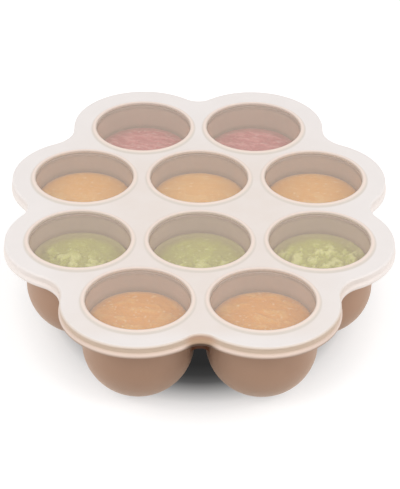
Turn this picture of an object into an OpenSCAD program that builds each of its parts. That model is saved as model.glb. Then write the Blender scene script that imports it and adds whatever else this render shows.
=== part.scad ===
// Freezer tray for baby food: ten round-bottomed cups in one soft moulding,
// closed by a lid that follows the same petal-shaped outline.
// Millimetres. +Z is up and the origin lies on the table under the middle
// of the tray. The front of the tray faces -Y.

/* [Cups] */
// Distance between the centres of neighbouring cups
pitch = 60; // [58:0.5:66]
// Height of the tray from the table to the top of its flange
tray_h = 49; // [44:0.5:60]
// Radius of the round bottom of a cup, outside
bowl_r = 26.2; // [22:0.1:27]
// Radius of the flat spot that a cup stands on
foot_r = 3.4; // [2.6:0.1:5]
// Lean of the cup wall away from upright, in degrees
draft = 2; // [0.5:0.1:3]
// Thickness of the cup wall
wall = 2.8; // [1.8:0.1:3.4]
// Rounding of the inner edge of a cup's mouth
mouth_round = 0.8; // [0.3:0.1:1.4]

/* [Flange] */
// Radius of the flange's outline round each outer cup
petal_r = 35.2; // [33:0.1:38]
// Thickness of the flange
flange_t = 2.6; // [2:0.1:4]
// How far the petals of the front and back rows stand out past their cups
end_out = 1.9; // [0:0.1:3]
// Radius of the notch in the front and back edges
notch_end = 12; // [8:0.5:20]
// Radius of the four notches at the corners
notch_corner = 20; // [10:0.5:24]
// Radius of the notch in the middle of each long side
notch_side = 16; // [8:0.5:20]
// Fillet between the flange and the cups, underneath
root_fillet = 2.4; // [1:0.1:4]

/* [Webs] */
// Height of the webs' lower edge above the table
web_z = 27; // [24:0.5:36]
// Radius of the hollow sides of the webs
web_fillet = 5; // [3:0.1:8]

/* [Lid] */
// Thickness of the lid's plate
plate_t = 2; // [1.6:0.1:2.6]
// Thickness of the skirt behind its groove
skirt_t = 1.6; // [1.2:0.1:2.4]
// Height of the skirt from the plate's top to its lower edge
skirt_h = 6.5; // [5.6:0.1:9]
// Rounding of the plate's outer edge
shoulder = 1; // [0.5:0.1:1.1]
// Height of the plate's outer band, above the groove
band_h = 1.2; // [1.1:0.1:2]
// How far the band stands out past the groove
band_out = 0.5; // [0.2:0.1:1]
// Height of the lip along the skirt's lower edge
lip_h = 2.2; // [1.4:0.1:2.6]
// How far the lip stands out past the groove
lip_out = 1; // [0.5:0.1:1.6]

/* [Windows] */
// Distance from the edge of a cup's mouth in to the edge of its window
window_inset = 0.5; // [0.2:0.1:2]
// Thickness of a window
window_t = 1.2; // [0.6:0.1:1.5]
// Width of the raised ring round a window
ring_w = 2.4; // [1.4:0.1:3]
// Height of the ring above the plate
ring_h = 0.3; // [0.2:0.1:0.6]

/* [Food] */
// Depth of the berry puree below the top of the cups
berry_drop = 13; // [6:0.5:20]
// Depth of the carrot puree below the top of the cups
carrot_drop = 10; // [6:0.5:20]
// Depth of the pea puree below the top of the cups
pea_drop = 10.8; // [6:0.5:20]
// Rise of a puree's surface towards the middle of its cup
crown = 0.8; // [0.3:0.1:1.5]

/* [Fits] */
// Gap between the flange and the lid's plate
seat_gap = 0.2; // [0.1:0.05:0.5]
// Gap between the flange's edge and the skirt
skirt_gap = 0.4; // [0.2:0.05:0.8]
// Gap between a puree and its cup
food_gap = 0.1; // [0.05:0.05:0.3]

/* [Hidden] */
$fn = 96;
// Depth by which round surfaces cross where they would only touch
bite = 0.02;
// Overlap of pieces that are joined
lap = 1;

// Cup centres: two end rows of two and two middle rows of three
mid_y = pitch / 2;
end_y = mid_y + pitch * sqrt(3) / 2;
back_cups = [[-pitch / 2, end_y], [pitch / 2, end_y]];
upper_cups = [for (i = [-1:1]) [i * pitch, mid_y]];
lower_cups = [for (i = [-1:1]) [i * pitch, -mid_y]];
front_cups = [[-pitch / 2, -end_y], [pitch / 2, -end_y]];
cups = concat(back_cups, upper_cups, lower_cups, front_cups);
// Every pair of cups that stand one pitch apart
pairs = [
    for (i = [0:len(cups) - 2]) for (j = [i + 1:len(cups) - 1])
        if (abs(norm(cups[i] - cups[j]) - pitch) < pitch / 100) [cups[i], cups[j]]
];

// Petals and notches of the outline, clockwise from the back left
petal_y = end_y + end_out;
petals = [
    [-pitch / 2, petal_y], [pitch / 2, petal_y], [pitch, mid_y], [pitch, -mid_y],
    [pitch / 2, -petal_y], [-pitch / 2, -petal_y], [-pitch, -mid_y], [-pitch, mid_y]
];
notch_rs = [
    notch_end, notch_corner, notch_side, notch_corner,
    notch_end, notch_corner, notch_side, notch_corner
];
// A notch's centre lies outside, where its circle just bites into both petals
function notch_at(i) =
    let (a = petals[i], b = petals[(i + 1) % 8], half = norm(b - a) / 2)
    let (way = (b - a) / (2 * half), out = [-way[1], way[0]])
    (a + b) / 2 + out * sqrt(pow(petal_r + notch_rs[i] - bite, 2) - half * half);
notches = [for (i = [0:7]) notch_at(i)];
function heading(from, to) = atan2(to[1] - from[1], to[0] - from[0]);
function arc(centre, r, from, to, steps = 5) =
    [for (k = [0:steps]) let (a = from + (to - from) * k / steps) centre + r * [cos(a), sin(a)]];

// Cup shape: the bowl is cut off flat at a slight angle by the foot
foot_angle = 5;
bowl_x = foot_r - bowl_r * sin(foot_angle);
bowl_z = bowl_r * cos(foot_angle);
function wall_r(inset, z) =
    let (r = bowl_r - inset)
    bowl_x + r * cos(draft) - bite + (z - bowl_z + r * sin(draft)) * tan(draft);
flange_z = tray_h - flange_t;
mouth_r = wall_r(wall, tray_h);
web_r = wall_r(0, web_z) - bite;
web_half = sqrt(pow(web_r + web_fillet, 2) - pitch * pitch / 4);
web_len = pitch * web_fillet / (web_r + web_fillet) + 2 * lap;

// Lid heights and widths
plate_z = tray_h + seat_gap;
plate_top = plate_z + plate_t;
ring_top = plate_top + ring_h;
pane_top = plate_z + window_t;
skirt_z = plate_top - skirt_h;
groove_x = skirt_gap + skirt_t;
window_r = mouth_r + mouth_round - window_inset;
lip_round = 0.5;
lip_slope = 0.6;

// Half section of a cup: flat foot, round bowl, straight leaning wall
module cup_section(inset, top) {
    r = bowl_r - inset;
    touch_z = bowl_z - r * sin(draft);
    intersection() {
        translate([bowl_x, bowl_z]) circle(r);
        translate([0, inset]) square([bowl_x + r + lap, r * 1.2]);
    }
    polygon([[0, touch_z], [wall_r(inset, touch_z), touch_z], [wall_r(inset, top), top], [0, top]]);
}

// A slab with the petal outline. Its edge is a list of points from top to
// bottom, each the distance out from the petals' own radius and the height.
module petal_slab(edge) {
    last = len(edge) - 1;
    high = edge[0][1];
    low = edge[last][1];
    difference() {
        union() {
            translate([0, 0, low]) linear_extrude(high - low)
                polygon([for (i = [0:7]) each [petals[i], notches[i]]]);
            for (p = petals) translate(p) rotate_extrude()
                polygon([[0, high], for (e = edge) [petal_r + e[0], e[1]], [0, low]]);
        }
        for (i = [0:7]) translate(notches[i]) rotate_extrude() polygon([
            [0, high + lap], [notch_rs[i] - edge[0][0], high + lap],
            for (e = edge) [notch_rs[i] - e[0], e[1]],
            [notch_rs[i] - edge[last][0], low - lap], [0, low - lap]
        ]);
    }
}

// Ring that rounds the inside corner between a cup and the flange
module root() {
    r = wall_r(0, flange_z - root_fillet) - bite;
    rotate_extrude() polygon([
        [r - lap, flange_z + lap], [r + root_fillet, flange_z + lap],
        each arc([r + root_fillet, flange_z - root_fillet], root_fillet, 90, 180),
        [r - lap, flange_z - root_fillet]
    ]);
}

// Web that joins two cups below the flange, hollow on both sides
module web(a, b) {
    translate([(a[0] + b[0]) / 2, (a[1] + b[1]) / 2, web_z]) rotate(heading(a, b))
        linear_extrude(flange_z + lap - web_z) difference() {
            square([web_len, 2 * web_half], center = true);
            for (s = [-1, 1]) translate([0, s * web_half]) circle(web_fillet);
        }
}

// Opens a cup and rounds the inner edge of its mouth
module cavity() {
    rotate_extrude() cup_section(wall, tray_h + lap);
    rotate_extrude() polygon([
        [mouth_r - lap, tray_h + lap], [mouth_r + mouth_round, tray_h + lap],
        each arc([mouth_r + mouth_round, tray_h - mouth_round], mouth_round, 90, 180),
        [mouth_r - lap, tray_h - mouth_round]
    ]);
}

module tray() {
    color([0.63, 0.51, 0.42]) difference() {
        union() {
            petal_slab(arc([-flange_t / 2, tray_h - flange_t / 2], flange_t / 2, 90, -90, 8));
            for (c = cups) translate(c) {
                rotate_extrude() cup_section(0, flange_z + lap);
                root();
            }
            for (p = pairs) web(p[0], p[1]);
        }
        for (c = cups) translate(c) cavity();
    }
}

// Edge of the lid from the plate down to the lip
lid_edge = [
    each arc([groove_x + band_out - shoulder, plate_top - shoulder], shoulder, 90, 0),
    [groove_x + band_out, plate_top - band_h],
    [groove_x, plate_top - band_h - band_out],
    [groove_x, skirt_z + lip_h + lip_slope],
    each arc([groove_x + lip_out - lip_round, skirt_z + lip_h - lip_round], lip_round, 60, 0, 4),
    each arc([groove_x + lip_out - lip_round, skirt_z + lip_round], lip_round, 0, -90, 4)
];

// Raised ring round a window: a flat crest that slopes down to the plate
module window_ring() {
    rotate_extrude() polygon([
        [window_r - lap, plate_top - plate_t / 2], [window_r - lap, ring_top],
        [window_r + ring_w / 2, ring_top], [window_r + ring_w, plate_top],
        [window_r + ring_w, plate_top - plate_t / 2]
    ]);
}

// Clears the middle of a ring down to the window's pane
module window_cut() {
    rotate_extrude() polygon([
        [0, pane_top], [window_r, pane_top],
        each arc([window_r + ring_h, ring_top - ring_h], ring_h, 180, 90, 3),
        [window_r + ring_h, ring_top + lap], [0, ring_top + lap]
    ]);
}

module lid() {
    color([0.94, 0.91, 0.89, 0.8]) difference() {
        union() {
            difference() {
                petal_slab(lid_edge);
                petal_slab([[skirt_gap, plate_z], [skirt_gap, skirt_z - lap]]);
            }
            for (c = cups) translate(c) window_ring();
        }
        for (c = cups) translate(c) window_cut();
    }
}

// One portion of puree, a little higher in the middle
module puree(centre, drop, tint) {
    inset = wall + food_gap;
    level = tray_h - drop;
    rim = wall_r(inset, level);
    dome = (rim * rim + crown * crown) / (2 * crown);
    color(tint) translate(centre) rotate_extrude() intersection() {
        cup_section(inset, level + crown + lap);
        translate([0, level + crown - dome]) circle(dome);
    }
}

berry = [0.77, 0.45, 0.44];
carrot = [0.88, 0.62, 0.38];
pea = [0.67, 0.66, 0.36];

tray();
lid();
puree(back_cups[0], berry_drop, berry);  // berry_puree_left
puree(back_cups[1], berry_drop, berry);  // berry_puree_right
puree(upper_cups[0], carrot_drop, carrot);  // carrot_puree_left
puree(upper_cups[1], carrot_drop, carrot);  // carrot_puree_middle
puree(upper_cups[2], carrot_drop, carrot);  // carrot_puree_right
puree(lower_cups[0], pea_drop, pea);  // pea_puree_left
puree(lower_cups[1], pea_drop, pea);  // pea_puree_middle
puree(lower_cups[2], pea_drop, pea);  // pea_puree_right
puree(front_cups[0], carrot_drop, carrot);  // carrot_puree_front_left
puree(front_cups[1], carrot_drop, carrot);  // carrot_puree_front_right
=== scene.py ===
import math

import bpy
from mathutils import Matrix, Vector, noise


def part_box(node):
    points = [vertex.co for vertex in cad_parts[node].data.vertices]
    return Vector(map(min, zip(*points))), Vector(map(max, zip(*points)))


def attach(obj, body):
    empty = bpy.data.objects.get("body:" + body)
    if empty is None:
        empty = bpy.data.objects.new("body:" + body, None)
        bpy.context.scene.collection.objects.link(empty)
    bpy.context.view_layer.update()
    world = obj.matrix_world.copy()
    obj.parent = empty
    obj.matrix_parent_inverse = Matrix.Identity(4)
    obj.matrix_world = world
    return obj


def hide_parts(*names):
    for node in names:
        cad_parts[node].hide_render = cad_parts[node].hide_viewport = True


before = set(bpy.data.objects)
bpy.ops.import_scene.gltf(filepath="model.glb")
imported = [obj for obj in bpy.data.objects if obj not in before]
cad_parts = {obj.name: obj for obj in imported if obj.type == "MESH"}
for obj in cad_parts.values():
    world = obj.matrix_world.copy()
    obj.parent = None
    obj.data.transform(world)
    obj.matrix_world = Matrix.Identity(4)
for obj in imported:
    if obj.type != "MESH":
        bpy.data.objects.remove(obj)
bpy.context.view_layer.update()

# Places that everything else is worked out from
portionNodes = [name for name in sorted(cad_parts) if "puree" in name]
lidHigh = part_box("lid")[1]


def cupCentre(node):
    low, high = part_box(node)
    return Vector(((low.x + high.x) / 2, (low.y + high.y) / 2, 0))


cupCentres = [cupCentre(node) for node in portionNodes]
cupRows = sorted({round(centre.y, 4) for centre in cupCentres})
print("frame: %d cups under a lid %.1f mm high" % (len(cupCentres), 1000 * lidHigh.z))


class Wire:  # one output of a shader node, which can stand in a sum
    def __init__(self, graph, socket):
        self.graph = graph
        self.socket = socket

    def pick(self, name):
        return Wire(self.graph, self.socket.node.outputs[name])

    def maths(self, operation, first, second):
        return self.graph.add("ShaderNodeMath", {"operation": operation}, {0: first, 1: second})

    def __add__(self, other):
        return self.maths("ADD", self, other)

    def __radd__(self, other):
        return self.maths("ADD", other, self)

    def __sub__(self, other):
        return self.maths("SUBTRACT", self, other)

    def __rsub__(self, other):
        return self.maths("SUBTRACT", other, self)

    def __mul__(self, other):
        return self.maths("MULTIPLY", self, other)

    def __rmul__(self, other):
        return self.maths("MULTIPLY", other, self)


class Graph:  # the node tree of one finish
    def __init__(self, owner):
        owner.use_nodes = True
        self.tree = owner.node_tree
        self.tree.nodes.clear()

    def add(self, kind, settings=None, inputs=None, output=0):
        node = self.tree.nodes.new(kind)
        for name, value in (settings or {}).items():
            if name == "stops":
                self.setStops(node.color_ramp, value)
            else:
                setattr(node, name, value)
        for name, value in (inputs or {}).items():
            if isinstance(value, Wire):
                self.tree.links.new(value.socket, node.inputs[name])
            else:
                node.inputs[name].default_value = value
        return Wire(self, node.outputs[output]) if node.outputs else None

    def setStops(self, ramp, stops):
        while len(ramp.elements) < len(stops):
            ramp.elements.new(1)
        for element, (position, colour) in zip(ramp.elements, stops):
            element.position = position
            element.color = opaque(colour)

    def place(self):  # the point on the piece, in metres
        return self.add("ShaderNodeTexCoord", output="Object")

    def mix(self, share, first, second):
        inputs = {0: share, 6: opaque(first), 7: opaque(second)}
        return self.add("ShaderNodeMix", {"data_type": "RGBA"}, inputs, 2)

    def fade(self, value, start, end):  # 0 at start, 1 at end
        inputs = {"Value": value, "From Min": start, "From Max": end}
        return self.add("ShaderNodeMapRange", {"interpolation_type": "SMOOTHSTEP"}, inputs)

    def cloud(self, place, size, detail=3, roughness=0.5):
        inputs = {"Vector": place, "Scale": 1 / size, "Detail": detail, "Roughness": roughness}
        return self.add("ShaderNodeTexNoise", None, inputs)

    def patches(self, place, size, detail=3):  # soft patches from 0 to 1
        return self.fade(self.cloud(place, size, detail), 0.35, 0.65)

    def stretched(self, place, scale):
        return self.add("ShaderNodeMapping", None, {"Vector": place, "Scale": scale})

    def overHeight(self, height, stops):  # colours at heights, from the lowest up
        foot, top = stops[0][0], stops[-1][0]
        stops = [((level - foot) / (top - foot), colour) for level, colour in stops]
        share = (height - foot) * (1 / (top - foot))
        return self.add("ShaderNodeValToRGB", {"stops": stops}, {"Fac": share})

    def bump(self, height, depth):
        return self.add("ShaderNodeBump", None, {"Height": height, "Distance": depth})

    def vectors(self, operation, first, second=None, output=0):
        inputs = {0: first} if second is None else {0: first, 1: second}
        return self.add("ShaderNodeVectorMath", {"operation": operation}, inputs, output)

    def surface(self, inputs):
        shader = self.add("ShaderNodeBsdfPrincipled", None, inputs)
        self.add("ShaderNodeOutputMaterial", None, {"Surface": shader})


def opaque(colour):
    return colour if isinstance(colour, Wire) or len(colour) == 4 else (*colour, 1)


def finishOf(name):
    material = bpy.data.materials.new(name)
    return material, Graph(material)


# The camera stands at the photograph's angle
cameraView = {
    "imageHeight": 489,  # pixels
    "focalLength": 2118.08,  # pixels
    "position": (-0.01115, -0.91595, 0.6325),
    "azimuth": -0.7294,  # degrees, as are the next two
    "elevation": 33.4004,
    "roll": 0.6559,
    "sensorWidth": 36,  # millimetres
    "clipStart": 0.05,  # metres
    "clipEnd": 20,
}


def placeCamera():
    look = cameraView
    azimuth = math.radians(look["azimuth"])
    elevation = math.radians(look["elevation"])
    roll = math.radians(look["roll"])
    ahead = Vector((-math.sin(azimuth) * math.cos(elevation),
                    math.cos(azimuth) * math.cos(elevation), -math.sin(elevation)))
    side = ahead.cross(Vector((0, 0, 1))).normalized()
    above = side.cross(ahead)
    right = math.cos(roll) * side + math.sin(roll) * above
    up = math.cos(roll) * above - math.sin(roll) * side
    data = bpy.data.cameras.new("camera")
    data.sensor_width = look["sensorWidth"]
    data.lens = look["sensorWidth"] * look["focalLength"] / look["imageHeight"]
    data.clip_start = look["clipStart"]
    data.clip_end = look["clipEnd"]
    eye = bpy.data.objects.new("camera", data)
    bpy.context.scene.collection.objects.link(eye)
    facing = Matrix((right, up, -ahead)).transposed().to_4x4()
    eye.matrix_world = Matrix.Translation(look["position"]) @ facing
    bpy.context.scene.camera = eye


placeCamera()
print("camera placed")


# A pale floor under soft light. To the eye its brightness grows from the middle of the tray,
# 0, to past the tray's edge, 1, so that the tray stands in shade and the open floor is white
studio = {
    "floorSize": 12,  # metres
    "floorSeen": [(0.54, 0.047), (0.61, 0.08), (0.66, 0.17), (0.74, 0.68),
                  (0.80, 0.97), (0.87, 1.08), (1, 1.2)],
    "floorGlow": 0.5,  # share of that brightness that no shadow takes away
    "floorLit": 0.8,  # brightness of the floor as it lights the tray
    "worldLight": 0.60,  # the sky's brightness in front, behind and above
    "sideLight": 0.42,  # added towards the left and right of the sky
    "lampPlaces": [(-1.9, -1.3, 1.6), (1.9, -1.2, 1.6)],
    "lampSize": 2.0,  # metres across
    "lampWatts": 25,
}


def seenDirectly(graph):  # 1 for the eye and for what it sees in or through a surface
    path = graph.add("ShaderNodeLightPath", output="Is Camera Ray")
    seen = path.maths("MAXIMUM", path, path.pick("Is Glossy Ray"))
    return seen.maths("MAXIMUM", seen, path.pick("Is Transmission Ray"))


def buildFloor():
    bpy.ops.mesh.primitive_plane_add(size=studio["floorSize"], location=(0, 0, 0))
    floor = bpy.context.object
    floor.name = "floor"
    material, graph = finishOf("floorPaper")
    shrunk = graph.stretched(graph.place(), (1 / lidHigh.x, 1 / lidHigh.y, 1))
    away = graph.vectors("LENGTH", shrunk, output="Value")
    stops = [(place, (level,) * 3) for place, level in studio["floorSeen"]]
    seen = graph.add("ShaderNodeValToRGB", {"stops": stops}, {"Fac": away})
    byEye = seenDirectly(graph)
    shaded = graph.mix(studio["floorGlow"], seen, (0, 0, 0))
    paper = graph.add("ShaderNodeBsdfDiffuse", None, {
        "Color": graph.mix(byEye, (studio["floorLit"],) * 3, shaded)})
    glow = graph.add("ShaderNodeEmission", None, {
        "Color": seen, "Strength": byEye * studio["floorGlow"]})
    both = graph.add("ShaderNodeAddShader", None, {0: paper, 1: glow})
    graph.add("ShaderNodeOutputMaterial", None, {"Surface": both})
    floor.data.materials.append(material)


def buildWorld():
    world = bpy.data.worlds.new("studio")
    bpy.context.scene.world = world
    graph = Graph(world)
    sideways = graph.add("ShaderNodeSeparateXYZ", None, {0: graph.add("ShaderNodeTexCoord")})
    light = studio["worldLight"] + sideways * sideways * studio["sideLight"]
    strength = light + seenDirectly(graph) * (1 - light)
    sky = graph.add("ShaderNodeBackground", None, {"Color": (1, 1, 1, 1), "Strength": strength})
    graph.add("ShaderNodeOutputWorld", None, {"Surface": sky})


def hangLamp(place):
    data = bpy.data.lights.new("softbox", "AREA")
    data.shape = "DISK"
    data.size = studio["lampSize"]
    data.energy = studio["lampWatts"]
    lamp = bpy.data.objects.new("softbox", data)
    lamp.location = place
    lamp.rotation_euler = (-lamp.location).to_track_quat("-Z", "Y").to_euler()
    bpy.context.scene.collection.objects.link(lamp)


buildFloor()
buildWorld()
for lampPlace in studio["lampPlaces"]:
    hangLamp(lampPlace)
print("studio lit")


def nearestCup(graph, place):  # distance along the plate to the middle of the nearest cup
    flat = graph.vectors("MULTIPLY", place, (1, 1, 0))
    nearest = None
    for centre in cupCentres:
        away = graph.vectors("DISTANCE", flat, centre, "Value")
        nearest = away if nearest is None else away.maths("MINIMUM", nearest, away)
    return nearest


def directions(graph, place):  # height, distance to either side, and distance to the front
    height = graph.add("ShaderNodeSeparateXYZ", None, {0: place}, "Z")
    side = height.maths("ABSOLUTE", height.pick("X"), 0)
    return height, side, 0 - height.pick("Y")


# The tray is painted paler towards its left and right, as light from the sides. Inside the
# cups it is painted paler and greyer, as the light and haze that come through their milky
# windows, with painted light at the ends of a cup, painted shade at the lip under the lid and
# a band of painted shade just above the puree. It has painted shade, dark brown, under the
# lid in the front notch, which also reaches the two front cups where they face each other.
# A pair is where a fade starts and ends
trayLook = {
    "colour": (0.335, 0.198, 0.128),
    "pale": (0.36, 0.218, 0.144),
    # painted light: paler towards the left and right
    "outer": (0.41, 0.245, 0.162),  # towards the left and right
    "outerReach": (0.035, 0.075),
    # painted light and haze: paler and greyer than outside, as through the milky windows
    "inside": (0.37, 0.285, 0.227),
    "insideBackLit": (0.415, 0.315, 0.235),  # in the back row, whose puree is lower
    "backFront": (-0.062, -0.058),
    "backDrop": 0.0028,  # how much lower
    # painted light at the ends of a cup, in the front rows and in the back row
    "insideEndsLit": (0.445, 0.33, 0.265),  # at the left and right of a cup
    "backEndsLit": (0.51, 0.375, 0.285),
    "endReach": (0.003, 0.021),  # from a row's middle line towards the front or back
    # painted shade at the top of the wall, under the lid
    "lip": (0.30, 0.225, 0.175),
    "lipHeights": (0.0474, 0.0484),
    # painted shade on the wall just above the puree, paler at a cup's ends
    "foodLineShade": (0.27, 0.195, 0.145),
    "foodLineShadeEnds": (0.35, 0.24, 0.165),
    "insideRadius": (0.0256, 0.0258),
    "insideFoot": (0.03, 0.031),
    "foodLineShadeHeights": (0.0388, 0.0424),
    # painted shade, dark brown under the flange in the front notch
    "notch": (0.105, 0.025, 0.0),
    "notchReach": (0.003, 0.007),  # to either side of the middle line
    "notchFront": (0.06, 0.07),
    "notchTop": (0.0455, 0.0462),  # under the flange
    "patchSize": 0.03,
    "grainSize": 0.0006,
    "grainDepth": 0.00004,
    "roughness": 0.46,
    "roughnessSpread": 0.08,
    "sheen": 0.45,
    "sheenRoughness": 0.4,
    "sheenTint": (1, 0.82, 0.66, 1),
    "ior": 1.41,
}


def cupInside(graph, height, front):  # colour of the wall of a cup
    look = trayLook
    back = 1 - graph.fade(front, *look["backFront"])
    halfPitch = (cupRows[1] - cupRows[0]) / 2
    toRow = front.maths("PINGPONG", front + cupRows[-1], halfPitch)  # to the nearest row
    ends = 1 - graph.fade(toRow, *look["endReach"])
    # painted light: paler and greyer inside the cups, paler still in the back row
    aboveFoodLine = graph.mix(back, look["inside"], look["insideBackLit"])
    # painted light at the left and right of each cup
    aboveFoodLine = graph.mix(ends, aboveFoodLine, graph.mix(back, look["insideEndsLit"], look["backEndsLit"]))
    # painted shade at the lip, under the lid
    aboveFoodLine = graph.mix(graph.fade(height, *look["lipHeights"]), aboveFoodLine, look["lip"])
    # painted shade on the wall just above the puree, paler at the ends
    foodLineShade = graph.mix(ends, look["foodLineShade"], look["foodLineShadeEnds"])
    level = height + back * look["backDrop"]
    return graph.mix(graph.fade(level, *look["foodLineShadeHeights"]), foodLineShade, aboveFoodLine)


def traySilicone():
    look = trayLook
    material, graph = finishOf("traySilicone")
    place = graph.place()
    height, side, front = directions(graph, place)
    patches = graph.patches(place, look["patchSize"])
    inside = 1 - graph.fade(nearestCup(graph, place), *look["insideRadius"])
    inside = inside * graph.fade(height, *look["insideFoot"])
    # painted shade under the flange in the front notch; it also reaches the two front cups where
    # they face each other
    notch = (1 - graph.fade(side, *look["notchReach"])) * graph.fade(front, *look["notchFront"])
    notch = notch * (1 - graph.fade(height, *look["notchTop"]))
    colour = graph.mix(patches, look["colour"], look["pale"])
    # painted light towards the left and right
    colour = graph.mix(graph.fade(side, *look["outerReach"]), colour, look["outer"])
    colour = graph.mix(inside, colour, cupInside(graph, height, front))
    graph.surface({
        "Base Color": graph.mix(notch, colour, look["notch"]),
        "Roughness": look["roughness"] + patches * look["roughnessSpread"],
        "IOR": look["ior"],
        "Sheen Weight": look["sheen"],
        "Sheen Roughness": look["sheenRoughness"],
        "Sheen Tint": look["sheenTint"],
        "Normal": graph.bump(graph.cloud(place, look["grainSize"], 2), look["grainDepth"]),
    })
    return material


# The lid is milky: the flange shows tan through the front of the skirt and more so in its
# notches, the plate is warmer round its middle, and the panes veil what is under them. The
# skirt's colours go with the height, from its foot up to the plate, with painted shade and
# light in them: a darker foot and groove, a paler lip, and near-black painted shade at the
# foot of the notches. Round each window the ring is painted with warm light, and the
# window's wall and the plate's underside with shade
lidLook = {
    "plate": (0.835, 0.782, 0.758),
    "mottle": 0.975,  # brightness of the plate's darker patches
    "mottleShare": 0.6,
    "mottleSize": 0.014,
    "middle": (0.795, 0.712, 0.66),
    "middleLeast": 0.75,  # share of that colour between the patches
    "middleReach": (0.03, 0.085),  # to either side
    "middleFront": (-0.1, -0.03),  # from the back row to the next
    "middleEnd": (0.104, 0.117),  # before the front edge
    # painted shade and light over the height: a darker foot and groove, a paler lip
    "sideSkirt": [
        (0.0447, (0.76, 0.68, 0.62)),
        (0.0457, (0.85, 0.78, 0.74)),
        (0.0470, (0.85, 0.78, 0.74)),
        (0.0477, (0.79, 0.72, 0.68)),
        (0.0500, (0.80, 0.73, 0.69)),
        (0.0512, (0.835, 0.782, 0.758)),
    ],
    # the flange's tan seen through, with painted shade and light: a dark foot, a darker groove and
    # a paler lip
    "frontSkirt": [
        (0.0447, (0.27, 0.18, 0.135)),
        (0.0453, (0.40, 0.28, 0.21)),
        (0.0462, (0.735, 0.585, 0.50)),
        (0.0469, (0.735, 0.585, 0.50)),
        (0.0477, (0.563, 0.436, 0.336)),
        (0.0501, (0.563, 0.436, 0.336)),
        (0.0512, (0.78, 0.70, 0.64)),
    ],
    # the flange's tan seen through, with painted shade: near-black at the foot and darker in the
    # corner
    "notchSkirt": [
        (0.0447, (0.07, 0.033, 0.015)),
        (0.0457, (0.07, 0.033, 0.015)),
        (0.0467, (0.44, 0.296, 0.197)),
        (0.0475, (0.52, 0.35, 0.232)),
        (0.0490, (0.50, 0.315, 0.22)),
        (0.0505, (0.55, 0.40, 0.31)),
        (0.0512, (0.72, 0.62, 0.55)),
    ],
    "frontReach": (0.05, 0.10),  # from the sides' colours to the front's
    "notchReach": (0.0035, 0.0095),  # to either side of the middle line
    "notchEnd": (0.095, 0.1),  # to the front or back
    "plateHeights": (0.0511, 0.0512),  # from the skirt's colours to the plate's
    # painted warm light: the puree's colour glowing through the ring's edge
    "ring": (0.87, 0.725, 0.645),
    "ringWidth": 0.0026,
    "ringFade": 0.0016,  # from the ring's colour to the plate's
    "ringReach": (0.029, 0.0291),
    # painted shade on the window's wall and the ring's inner edge
    "ringWallShade": (0.65, 0.555, 0.485),
    "wallFade": 0.0009,
    # painted shade on the plate's underside round a window
    "ringUnderShade": (0.66, 0.56, 0.485),  # seen through the far side of a pane
    "underReach": (0.0272, 0.0276),
    "underHeights": (0.0494, 0.0495),
    "ringShade": (0.70, 0.63, 0.565),  # soft line on the front side of a ring
    "shadeShift": 0.0015,
    "shadeBlur": 0.0006,
    "windowRadius": 0.02562,
    "pane": (0.86, 0.72, 0.62),
    "paneRadius": (0.0255, 0.0256),
    "paneAlpha": 0.20,  # of one face of a pane
    "paneHold": 0.02,  # share of the light that one face of a pane holds back
    "plateHold": 0.55,  # and one face of the plate
    "patchSize": 0.02,
    "grainSize": 0.0008,
    "grainDepth": 0.00003,
    "roughness": 0.42,
    "roughnessSpread": 0.08,
    "ior": 1.41,
}


def plateColour(graph, place, away, height, side, front):
    look = lidLook
    patches = graph.patches(place, look["mottleSize"], 4)
    mottled = [part * look["mottle"] for part in look["plate"]]
    colour = graph.mix(patches * look["mottleShare"], look["plate"], mottled)
    middle = (1 - graph.fade(side, *look["middleReach"])) * graph.fade(front, *look["middleFront"])
    middle = middle * (1 - graph.fade(front, *look["middleEnd"]))
    share = look["middleLeast"] + patches * (1 - look["middleLeast"])
    colour = graph.mix(middle * share, colour, look["middle"])
    window = look["windowRadius"]
    end = window + look["ringWidth"]
    shifted = graph.vectors("ADD", place, (0, look["shadeShift"], 0))
    blur = look["shadeBlur"]
    shade = 1 - graph.fade(nearestCup(graph, shifted), end - blur, end + blur)
    colour = graph.mix(shade, colour, look["ringShade"])
    # painted warm light on the ring
    colour = graph.mix(1 - graph.fade(away, end - look["ringFade"], end), colour, look["ring"])
    # painted shade on the window's wall
    ring = graph.fade(away, window, window + look["wallFade"])
    colour = graph.mix(ring, look["ringWallShade"], colour)
    # painted shade on the plate's underside round each window
    under = 1 - graph.fade(away, *look["underReach"])
    under = under * (1 - graph.fade(height, *look["underHeights"]))
    return graph.mix(under, colour, look["ringUnderShade"])


def skirtColour(graph, height, side, front):
    look = lidLook
    end = front.maths("ABSOLUTE", front, 0)
    # painted shade in the notches at the front and back
    notch = (1 - graph.fade(side, *look["notchReach"])) * graph.fade(end, *look["notchEnd"])
    sides = graph.overHeight(height, look["sideSkirt"])
    colour = graph.mix(graph.fade(front, *look["frontReach"]), sides,
                       graph.overHeight(height, look["frontSkirt"]))
    return graph.mix(notch, colour, graph.overHeight(height, look["notchSkirt"]))


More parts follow.
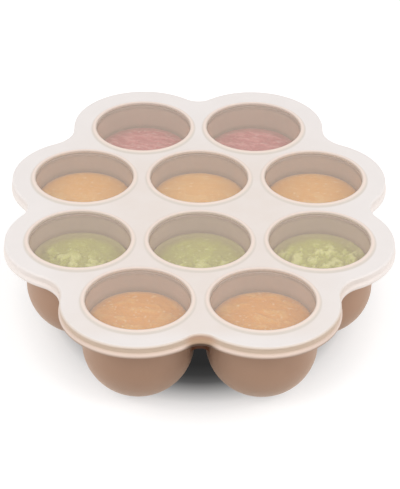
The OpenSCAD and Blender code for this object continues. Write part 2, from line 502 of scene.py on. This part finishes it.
def lidSilicone():
    look = lidLook
    material, graph = finishOf("lidSilicone")
    place = graph.place()
    height, side, front = directions(graph, place)
    away = nearestCup(graph, place)
    pane = 1 - graph.fade(away, *look["paneRadius"])
    onRing = 1 - graph.fade(away, *look["ringReach"])
    onPlate = onRing.maths("MAXIMUM", onRing, graph.fade(height, *look["plateHeights"]))
    colour = graph.mix(onPlate, skirtColour(graph, height, side, front),
                       plateColour(graph, place, away, height, side, front))
    seen = 1 - pane * (1 - look["paneAlpha"])
    held = look["plateHold"] - pane * (look["plateHold"] - look["paneHold"])
    shadow = graph.add("ShaderNodeLightPath", output="Is Shadow Ray")
    patches = graph.patches(place, look["patchSize"])
    graph.surface({
        "Base Color": graph.mix(pane, colour, look["pane"]),
        "Roughness": look["roughness"] + patches * look["roughnessSpread"],
        "IOR": look["ior"],
        "Alpha": seen + shadow * (held - seen),
        "Normal": graph.bump(graph.cloud(place, look["grainSize"], 2), look["grainDepth"]),
    })
    return material


def paint(node, material):
    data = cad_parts[node].data
    data.materials.clear()
    data.materials.append(material)


paint("tray", traySilicone())
paint("lid", lidSilicone())
print("tray and lid finished")


# A portion of puree fills its cup up to a soft edge, which sinks or climbs at the wall
portionShape = {
    "sides": 96,
    "cupRadius": 0.0262,  # of a cup's round bottom, outside
    "bowlHeight": 0.0261,  # of the middle of the round bottom
    "wallLean": 2,  # degrees
    "bowlSteps": 7,
    "wallSteps": 3,
    "rings": 22,
    "crown": 0.0008,
    "sideBelow": 0.0004,  # what lies deeper than this is the portion's side
}

# Its surface is spooned by kind: lumps or swirls that are paler where they stand up, a
# painted shadow from the wall along its edge, and painted glints
pureeLook = {
    "berry": {
        "deep": (0.54, 0.12, 0.14),
        "mid": (0.62, 0.165, 0.18),
        "pale": (0.74, 0.31, 0.31),
        "edge": (0.42, 0.18, 0.15),
        "glint": (0.82, 0.50, 0.48),
        "grain": 0.35,
        "lumpSize": 0.0032,
        "lumpHeight": 0.0005,
        "lumpStretch": (0.5, 1.5),
        "swirl": 0,
        "edgeDrop": -0.0004,
        "edgeWidth": 0.0024,
        "edgeFade": 0.006,
    },
    "carrot": {
        "deep": (0.77, 0.315, 0.0),
        "mid": (0.80, 0.385, 0.035),
        "pale": (0.845, 0.485, 0.12),
        "edge": (0.56, 0.32, 0.15),
        "glint": (0.93, 0.70, 0.40),
        "grain": 0.22,
        "lumpSize": 0.0060,
        "lumpHeight": 0.0004,
        "lumpStretch": (0.8, 1.2),
        "swirl": 0.0046,
        "edgeDrop": 0.0004,
        "edgeWidth": 0.0024,
        "edgeFade": 0.0045,
    },
    "pea": {
        "deep": (0.40, 0.425, 0.065),
        "mid": (0.48, 0.53, 0.075),
        "pale": (0.74, 0.78, 0.28),
        "edge": (0.345, 0.30, 0.125),
        "glint": (0.80, 0.83, 0.42),
        "grain": 0.3,
        "lumpSize": 0.0056,
        "lumpHeight": 0.0018,
        "lumpStretch": (1.2, 0.8),
        "swirl": 0,
        "edgeDrop": -0.0014,
        "edgeWidth": 0.0034,
        "edgeFade": 0.008,
    },
}

# What a portion has of its own: how far back of its middle its lumps reach, with the rest
# smooth, and a tone that is paler above 0 and deeper below
portionOwn = {
    "carrot_puree_left": {"reach": -0.002, "tone": 0.6},
    "carrot_puree_middle": {"reach": -0.002, "tone": 0.8},
    "carrot_puree_right": {"reach": -0.002, "tone": 0.55},
    "carrot_puree_front_left": {"tone": -0.28},
    "carrot_puree_front_right": {"tone": -0.24},
    "pea_puree_left": {"reach": 0.006},
    "pea_puree_middle": {"reach": 0.001},
    "pea_puree_right": {"reach": 0.014, "tone": 0.2},
}

spooning = {
    "turn": 0.35,  # of the lumps, in radians
    "layer": 0.4,  # where the first portion's lumps are cut out of the noise
    "layerStep": 7.3,
    "detail": 3,
    "falloff": 0.8,
    "finer": 2.1,  # each detail than the last
    "lumpRange": (-0.35, 0.5),
    "swirlOff": (0.004, 0.003),  # the swirl's middle from the portion's
    "swirlShare": 0.11,
    "swirlLumps": 0.7,
    "swirlWobble": 1.1,
    "lumpsFade": (-0.007, 0.005),  # from lumpy to smooth
    "lumpsLean": 0.35,
    "calmHeight": 0.1,  # share of the lumps' height that the smooth part keeps
    "calmColour": 0.3,
    "sideLump": 0.3,
    "shadeFrom": (-0.5, 0.85),  # the edge is darkest at the back and left
    "shadeLeast": 0.65,
    "shadeSpread": 0.35,
}

pureeSurface = {
    "stops": (0.15, 0.5, 0.95),  # deep, mid and pale
    "lumpShare": 0.7,
    "speckSize": 0.0016,
    "speckRoughness": 0.6,
    "speckRange": (0.3, 0.75),
    "speckDepth": 0.0006,
    "glintRange": (0.70, 0.78),
    "glintShare": 0.55,
    "roughness": 0.34,
    "ior": 1.36,
}


def smooth(value, start, end):
    share = min(max((value - start) / (end - start), 0), 1)
    return share * share * (3 - 2 * share)


def bowlProfile(low, rim, top):  # radius and height, from the foot up to the edge
    shape = portionShape
    bowl = shape["cupRadius"] - low  # the wall is as thick as the foot is high
    lean = math.radians(shape["wallLean"])
    start = math.acos((shape["bowlHeight"] - low) / bowl)
    end = math.pi / 2 - lean
    touch = shape["bowlHeight"] - bowl * math.cos(end)
    shift = rim - (top - touch) * math.tan(lean) - bowl * math.sin(end)
    profile = []
    for k in range(shape["bowlSteps"] + 1):
        turn = start + (end - start) * k / shape["bowlSteps"]
        radius = shift + bowl * math.sin(turn)
        profile.append((radius, shape["bowlHeight"] - bowl * math.cos(turn)))
    for k in range(1, shape["wallSteps"] + 1):
        height = touch + (top - touch) * k / shape["wallSteps"]
        profile.append((rim - (top - height) * math.tan(lean), height))
    return profile


def raiseBowl(kind, profile):  # one filled bowl round the origin, with a level top
    foot, low = profile[0]
    bpy.ops.object.select_all(action="DESELECT")
    bpy.ops.mesh.primitive_circle_add(
        vertices=portionShape["sides"], radius=foot, fill_type="NGON", location=(0, 0, low))
    bowl = bpy.context.object
    bowl.name = kind + "_bowl"
    bpy.ops.object.transform_apply(location=True, rotation=False, scale=False)
    bpy.ops.object.mode_set(mode="EDIT")
    bpy.ops.mesh.select_all(action="SELECT")
    for (radius, height), (nextRadius, nextHeight) in zip(profile, profile[1:]):
        rise = (0, 0, nextHeight - height)
        bpy.ops.mesh.extrude_region_move(TRANSFORM_OT_translate={"value": rise})
        share = nextRadius / radius
        bpy.ops.transform.resize(value=(share, share, 1), center_override=(0, 0, nextHeight))
    for ring in range(portionShape["rings"]):
        bpy.ops.mesh.inset(thickness=profile[-1][0] / (portionShape["rings"] + 1), depth=0)
    bpy.ops.mesh.poke()
    bpy.ops.mesh.select_all(action="SELECT")
    bpy.ops.mesh.normals_make_consistent(inside=False)
    bpy.ops.object.mode_set(mode="OBJECT")
    bpy.ops.object.modifier_add(type="SUBSURF")
    rounding = bowl.modifiers[-1]
    rounding.levels = rounding.render_levels = 1
    bpy.ops.object.modifier_apply(modifier=rounding.name)
    bpy.ops.object.shade_smooth()
    return bowl


def copyBowl(bowl, name, centre):
    portion = bowl.copy()
    portion.name = name
    portion.data = bowl.data.copy()
    portion.data.transform(Matrix.Translation(centre))
    bpy.context.scene.collection.objects.link(portion)
    return portion


def spoonMark(out, look, seed):  # how far the surface bulges here, from 0 to 1
    across, along = Matrix.Rotation(spooning["turn"], 2) @ out
    layer = spooning["layer"] + seed * spooning["layerStep"]
    spot = Vector((across / look["lumpSize"] * look["lumpStretch"][0],
                   along / look["lumpSize"] * look["lumpStretch"][1], layer))
    bulge = noise.fractal(spot, spooning["falloff"], spooning["finer"], spooning["detail"],
                          noise_basis="PERLIN_ORIGINAL")
    if look["swirl"]:
        offX, offY = spooning["swirlOff"]
        off = out - Vector((offX * math.cos(seed), offY * math.sin(seed)))
        turns = off.length / look["swirl"] + math.atan2(off.y, off.x) / (2 * math.pi)
        turns += spooning["swirlWobble"] * noise.noise(spot / 2)
        bulge = spooning["swirlLumps"] * bulge
        bulge += spooning["swirlShare"] * math.sin(2 * math.pi * turns)
    return smooth(bulge, *spooning["lumpRange"])


def lumpiness(out, reach, seed):  # 1 among the lumps, 0 in the smooth part behind them
    behind = out.y + spooning["lumpsLean"] * out.x * math.sin(seed * 2)
    start, end = spooning["lumpsFade"]
    return 1 - smooth(behind, reach + start, reach + end)


def edgeShade(out):
    toward = out.normalized().dot(Vector(spooning["shadeFrom"]))
    return spooning["shadeLeast"] + spooning["shadeSpread"] * toward


def spoonSurface(portion, node, rim, top, look, seed):
    centre = cupCentre(node)
    own = portionOwn.get(node, {})
    reach = own.get("reach", 2 * rim)
    calmHeight, calmColour = spooning["calmHeight"], spooning["calmColour"]
    lump = portion.data.attributes.new("lump", "FLOAT", "POINT")
    edge = portion.data.attributes.new("edge", "FLOAT", "POINT")
    for index, vertex in enumerate(portion.data.vertices):
        if vertex.co.z < top - portionShape["sideBelow"]:
            lump.data[index].value = spooning["sideLump"]
            edge.data[index].value = 1
            continue
        out = Vector((vertex.co.x - centre.x, vertex.co.y - centre.y))
        toWall = rim - out.length
        mark = spoonMark(out, look, seed)
        rough = lumpiness(out, reach, seed)
        inside = smooth(toWall, 0, look["edgeWidth"])
        rise = portionShape["crown"] * (1 - (out.length / rim) ** 2)
        rise -= look["edgeDrop"] * (1 - inside) ** 2
        lumps = calmHeight + (1 - calmHeight) * rough
        rise += look["lumpHeight"] * (mark - 0.5) * lumps * inside
        vertex.co.z += rise
        paleness = mark * (calmColour + (1 - calmColour) * rough)
        lump.data[index].value = own.get("tone", 0) + paleness
        # painted shadow of the cup's wall on the puree's edge, darkest at the back and left
        edge.data[index].value = edgeShade(out) * (1 - smooth(toWall, 0, look["edgeFade"]))


def pureeFinish(kind):
    look = pureeLook[kind]
    shared = pureeSurface
    material, graph = finishOf(kind + "Puree")
    place = graph.place()
    lump = graph.add("ShaderNodeAttribute", {"attribute_name": "lump"}, output="Fac")
    edge = graph.add("ShaderNodeAttribute", {"attribute_name": "edge"}, output="Fac")
    speck = graph.cloud(place, shared["speckSize"], 3, shared["speckRoughness"])
    share = lump * shared["lumpShare"] + graph.fade(speck, *shared["speckRange"]) * look["grain"]
    stops = list(zip(shared["stops"], (look["deep"], look["mid"], look["pale"])))
    colour = graph.add("ShaderNodeValToRGB", {"stops": stops}, {"Fac": share})
    # painted glints: small pale specks standing in for highlights on the wet surface
    glints = graph.fade(graph.cloud(place, shared["speckSize"], 0), *shared["glintRange"])
    colour = graph.mix(glints * shared["glintShare"], colour, look["glint"])
    graph.surface({
        # painted shadow at the edge by the wall
        "Base Color": graph.mix(edge, colour, look["edge"]),
        "Roughness": shared["roughness"],
        "IOR": shared["ior"],
        "Normal": graph.bump(speck, shared["speckDepth"] * look["grain"]),
    })
    return material


bowls = {}
finishes = {}
for seed, node in enumerate(portionNodes):
    kind = node.split("_")[0]
    low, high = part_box(node)
    rim = (high.x - low.x) / 2
    top = high.z - portionShape["crown"]
    if kind not in bowls:
        bowls[kind] = raiseBowl(kind, bowlProfile(low.z, rim, top))
        finishes[kind] = pureeFinish(kind)
    portion = copyBowl(bowls[kind], node + "_spooned", cupCentre(node))
    spoonSurface(portion, node, rim, top, pureeLook[kind], seed)
    portion.data.materials.append(finishes[kind])
    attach(portion, "tray_body")
    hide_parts(node)
    kind + "_puree"
for bowl in bowls.values():
    bpy.data.objects.remove(bowl)
print("purees spooned: %d" % len(portionNodes))

bpy.context.scene.view_settings.view_transform = "Standard"
